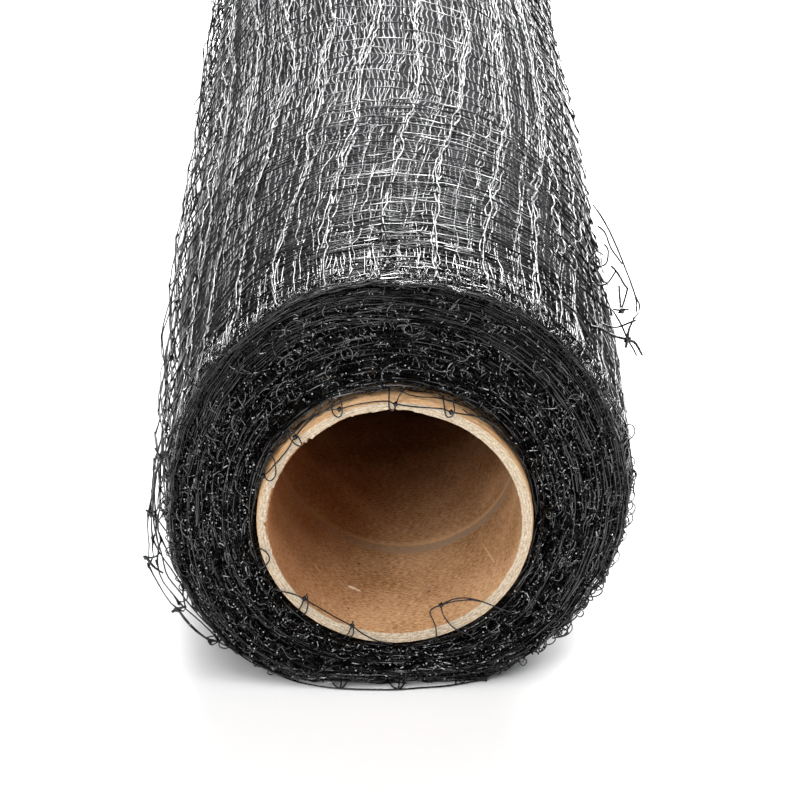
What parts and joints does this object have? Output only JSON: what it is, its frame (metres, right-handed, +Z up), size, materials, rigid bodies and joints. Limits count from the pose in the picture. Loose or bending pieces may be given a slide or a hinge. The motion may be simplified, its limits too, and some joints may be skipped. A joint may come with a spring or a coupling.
{
  "type": "bird netting roll",
  "caption": "Roll of black stretched plastic bird netting with square meshes, folded and wound on a cardboard core, with a loose outer turn and a lifted cut end.",
  "frame": {"origin": "on the floor, under the middle of the roll: the pressed flat underside lies at z = 0", "axes": "+Y along the core, from the torn rim's end to the other; +Z up; +X to the right, seen from the torn rim's end, on the side of the lifted cut end"},
  "size_m": [0.153, 0.613, 0.137],
  "materials": {
    "board": "uncoated spiral-wound kraft board, matte",
    "netting": "black stretched polypropylene, semi-gloss"
  },
  "bodies": {
    "root": {"core_tube": "board", "net_roll": "netting", "loose_turn": "netting", "loose_end": "netting"}
  },
  "joints": []
}
